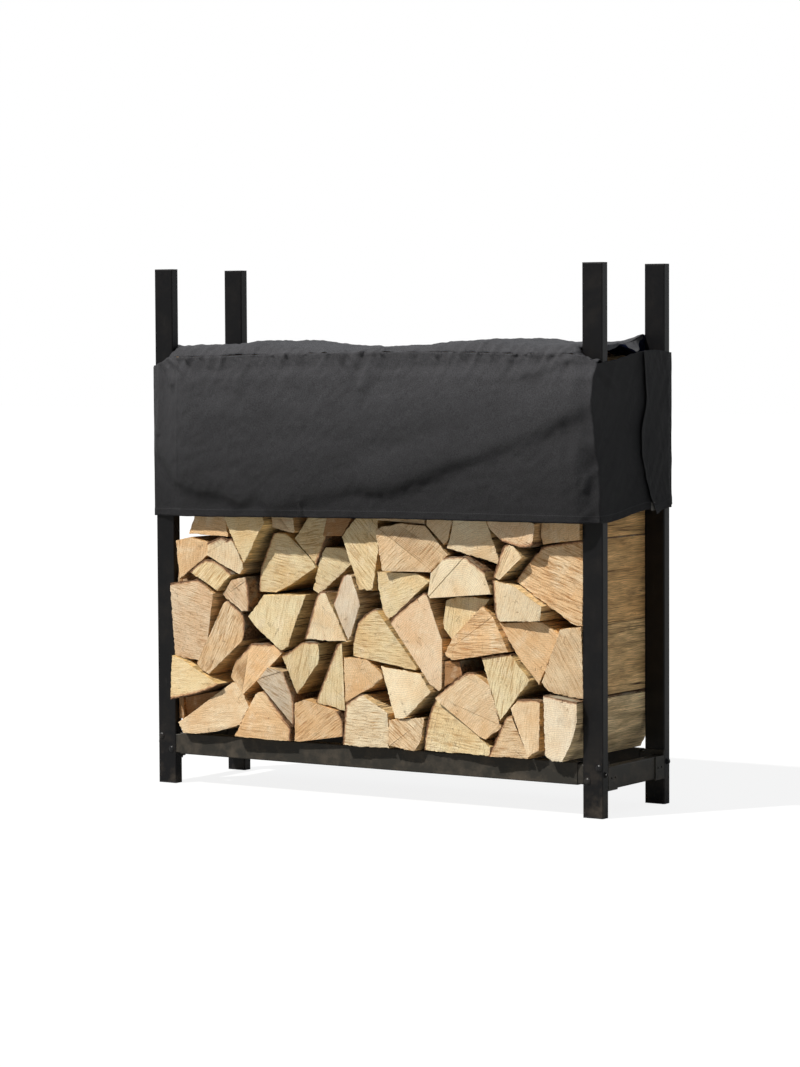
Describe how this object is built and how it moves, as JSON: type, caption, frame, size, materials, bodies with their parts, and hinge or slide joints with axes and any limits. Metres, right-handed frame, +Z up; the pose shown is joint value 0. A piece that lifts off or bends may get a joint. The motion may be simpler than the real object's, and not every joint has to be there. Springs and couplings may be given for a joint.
{
  "type": "covered firewood rack",
  "caption": "Steel tube firewood rack filled with split logs, with a fabric cover over the upper part of the stack.",
  "frame": {"origin": "on the floor at the middle of the rack's footprint", "axes": "+X along the rack to the viewer's right, +Y to its back, +Z up; the pictured side faces -Y"},
  "size_m": [1.2156, 0.394, 1.2],
  "materials": {
    "black_steel": "black powder coat, satin",
    "black_bolts": "black oxide, slightly worn",
    "plug_plastic": "matt moulded",
    "split_wood": "rough sawn ends, split sides, some bark",
    "cover_fabric": "coated woven polyester, matt",
    "hook_and_loop": "matt pile"
  },
  "bodies": {
    "root": {"cover_back": "cover_fabric", "cover_end_left": "cover_fabric", "cover_end_right": "cover_fabric", "cover_flap_left": "cover_fabric", "cover_flap_right": "cover_fabric", "cover_front": "cover_fabric", "cover_patches": "hook_and_loop", "cover_top": "cover_fabric", "end_rail_left": "black_steel", "end_rail_right": "black_steel", "logs_course_1": "split_wood", "logs_course_10": "split_wood", "logs_course_2": "split_wood", "logs_course_3": "split_wood", "logs_course_4": "split_wood", "logs_course_5": "split_wood", "logs_course_6": "split_wood", "logs_course_7": "split_wood", "logs_course_8": "split_wood", "logs_course_9": "split_wood", "post_back_left": "black_steel", "post_back_right": "black_steel", "post_foot_plugs": "plug_plastic", "post_front_left": "black_steel", "post_front_right": "black_steel", "post_top_plugs": "plug_plastic", "rail_back": "black_steel", "rail_front": "black_steel", "rail_socket_back_left": "black_steel", "rail_socket_back_right": "black_steel", "rail_socket_front_left": "black_steel", "rail_socket_front_right": "black_steel", "saddle_back_left": "black_steel", "saddle_back_right": "black_steel", "saddle_front_left": "black_steel", "saddle_front_right": "black_steel"}
  },
  "joints": []
}
